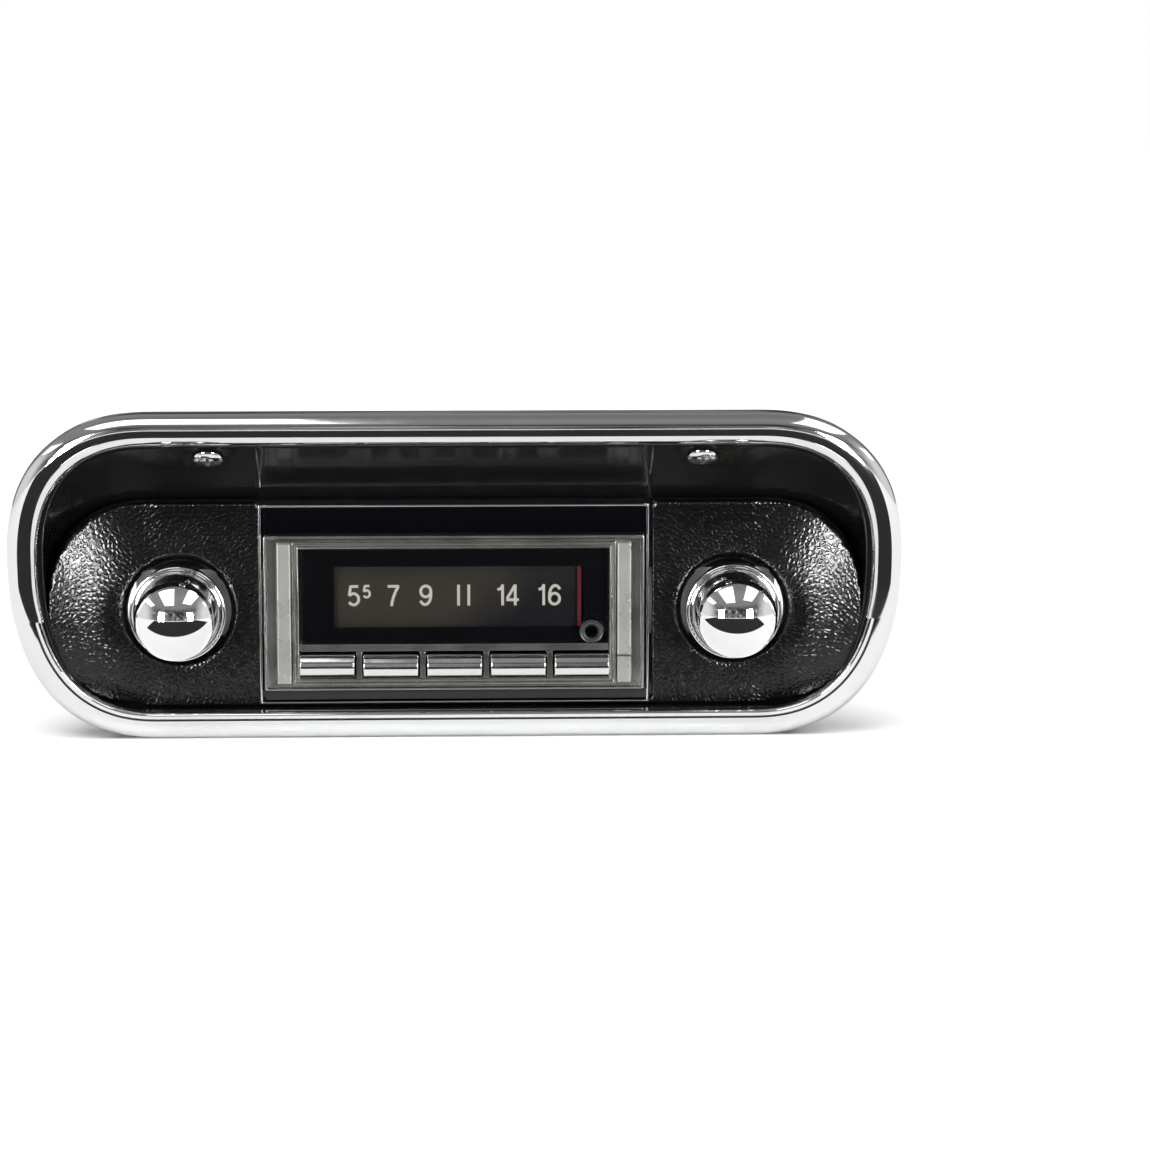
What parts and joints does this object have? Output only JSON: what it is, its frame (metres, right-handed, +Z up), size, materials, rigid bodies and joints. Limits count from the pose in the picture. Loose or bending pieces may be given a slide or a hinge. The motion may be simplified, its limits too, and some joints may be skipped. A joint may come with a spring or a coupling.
{
  "type": "car radio",
  "caption": "Vintage push-button car radio in a hooded chrome dash bezel, with domed knobs over control rings, a tuning dial with a red pointer, and a sheet-metal chassis behind.",
  "frame": {"origin": "middle of the underside of the bounding box, on the surface that the bezel and the rear support stand on", "axes": "+X to the right along the length as the listener faces it, +Y from the front face to the rear sockets, +Z up"},
  "size_m": [0.2496, 0.1526, 0.0942],
  "materials": {
    "bezel_chrome": "polished chrome plate",
    "bezel_plastic": "high-gloss black moulding",
    "panel_grain": "leather-grain black, semi-gloss",
    "center_gloss": "high-gloss black",
    "nose_metal": "satin chrome die casting",
    "button_chrome": "polished chrome plate",
    "knob_chrome": "mirror-polished chrome plate",
    "dial_ink": "printed dial, blue-black",
    "dial_paint": "printed dial ground, warm grey",
    "lens_clear": "clear window",
    "pointer_red": "red",
    "black_plastic": "moulded black",
    "zinc_sheet": "zinc-plated sheet",
    "steel": "bright nickel plate",
    "brass": "machined",
    "phosphor_bronze": "spring strip",
    "aluminium": "extruded, clear anodised",
    "phenolic": "brown laminate",
    "ferrite": "dark grey ferrite and nylon",
    "nylon": "natural nylon",
    "cord_braid": "waxed braid",
    "lamp_glass": "clear bulb",
    "sleeve": "shrunk sleeve",
    "lamination": "varnished core"
  },
  "bodies": {
    "radio_body": {"upper_trim": "bezel_chrome", "lower_trim": "bezel_chrome", "bezel_cup": "bezel_plastic", "bezel_screw_left": "bezel_chrome", "bezel_screw_right": "bezel_chrome", "grain_panel": "panel_grain", "center_frame": "bezel_chrome", "center_plate": "center_gloss", "nosepiece": "nose_metal", "dial_lens": "lens_clear", "dial_mask": "dial_ink", "dial_plate": "dial_paint", "aux_jack": "black_plastic", "left_bushing": "brass", "left_nut": "steel", "volume_control": "zinc_sheet", "right_bushing": "brass", "right_nut": "steel", "tuning_control": "zinc_sheet", "drum_axle": "steel", "dial_cord": "cord_braid", "pointer_rail": "steel", "carriage_rail": "steel", "coil_block": "phenolic", "button_guide": "zinc_sheet", "return_spring": "phosphor_bronze", "dial_lamp_left": "lamp_glass", "dial_lamp_right": "lamp_glass", "chassis": "zinc_sheet", "top_cover": "zinc_sheet", "circuit_board": "phenolic", "tuned_can": "aluminium", "filter_capacitor_1": "sleeve", "filter_capacitor_2": "sleeve", "audio_transformer": "lamination", "heat_sink": "aluminium", "output_transistor": "steel", "antenna_socket": "steel", "fuse_holder": "black_plastic", "terminal_block": "phenolic", "support_bracket": "zinc_sheet", "bracket_nut": "steel"},
    "volume_stem": {"volume_knob": "knob_chrome", "volume_shaft": "steel"},
    "tone_stem": {"tone_ring": "knob_chrome", "tone_shaft": "brass"},
    "tuning_stem": {"tuning_knob": "knob_chrome", "tuning_shaft": "steel", "tuning_pinion": "brass"},
    "fader_stem": {"fader_ring": "knob_chrome", "fader_shaft": "brass"},
    "cord_drum": {"drum_gear": "nylon"},
    "pulley_wheel": {"cord_pulley": "nylon"},
    "pointer_slider": {"pointer": "pointer_red"},
    "core_slider": {"core_carriage": "ferrite"},
    "button_1_stem": {"button_1": "button_chrome"},
    "button_2_stem": {"button_2": "button_chrome"},
    "button_3_stem": {"button_3": "button_chrome"},
    "button_4_stem": {"button_4": "button_chrome"},
    "button_5_stem": {"button_5": "button_chrome"}
  },
  "joints": [
    {"name": "volume_turn", "type": "hinge", "parent": "radio_body", "child": "volume_stem", "pos_m": [-0.0785, -0.06767, 0.0357], "axis": [0, 1, 0], "range_deg": [0, 300]},
    {"name": "tone_turn", "type": "hinge", "parent": "radio_body", "child": "tone_stem", "pos_m": [-0.0785, -0.05267, 0.0357], "axis": [0, 1, 0], "range_deg": [-135, 135]},
    {"name": "tuning_turn", "type": "hinge", "parent": "radio_body", "child": "tuning_stem", "pos_m": [0.0785, -0.06767, 0.0357], "axis": [0, 1, 0], "range_deg": [-1000, 0]},
    {"name": "fader_turn", "type": "hinge", "parent": "radio_body", "child": "fader_stem", "pos_m": [0.0785, -0.05267, 0.0357], "axis": [0, 1, 0], "range_deg": [-135, 135]},
    {"name": "drum_turn", "type": "hinge", "parent": "radio_body", "child": "cord_drum", "pos_m": [0.06046, -0.02767, 0.04227], "axis": [0, 1, 0], "range_deg": [0, 333.34]},
    {"name": "pulley_turn", "type": "hinge", "parent": "radio_body", "child": "pulley_wheel", "pos_m": [-0.062, -0.02767, 0.03727], "axis": [0, 1, 0], "range_deg": [0, 580.26]},
    {"name": "pointer_travel", "type": "slide", "parent": "radio_body", "child": "pointer_slider", "axis": [1, 0, 0], "range_m": [-0.06836, 0]},
    {"name": "core_travel", "type": "slide", "parent": "radio_body", "child": "core_slider", "axis": [1, 0, 0], "range_m": [-0.02327, 0]},
    {"name": "button_1_press", "type": "slide", "parent": "radio_body", "child": "button_1_stem", "axis": [0, 1, 0], "range_m": [0, 0.0035], "stiffness_N_per_m": 250, "springref_m": -0.004, "deforming": ["return_spring"]},
    {"name": "button_2_press", "type": "slide", "parent": "radio_body", "child": "button_2_stem", "axis": [0, 1, 0], "range_m": [0, 0.005], "stiffness_N_per_m": 250, "springref_m": -0.004, "deforming": ["return_spring"]},
    {"name": "button_3_press", "type": "slide", "parent": "radio_body", "child": "button_3_stem", "axis": [0, 1, 0], "range_m": [0, 0.005], "stiffness_N_per_m": 250, "springref_m": -0.004, "deforming": ["return_spring"]},
    {"name": "button_4_press", "type": "slide", "parent": "radio_body", "child": "button_4_stem", "axis": [0, 1, 0], "range_m": [0, 0.005], "stiffness_N_per_m": 250, "springref_m": -0.004, "deforming": ["return_spring"]},
    {"name": "button_5_press", "type": "slide", "parent": "radio_body", "child": "button_5_stem", "axis": [0, 1, 0], "range_m": [0, 0.005], "stiffness_N_per_m": 250, "springref_m": -0.004, "deforming": ["return_spring"]}
  ],
  "couplings": [
    {"joint": "drum_turn", "follows": "tuning_turn", "ratio": -0.33333},
    {"joint": "pulley_turn", "follows": "tuning_turn", "ratio": -0.58025},
    {"joint": "pointer_travel", "follows": "tuning_turn", "m_per_rad": 0.0039167},
    {"joint": "core_travel", "follows": "tuning_turn", "m_per_rad": 0.0013333}
  ]
}
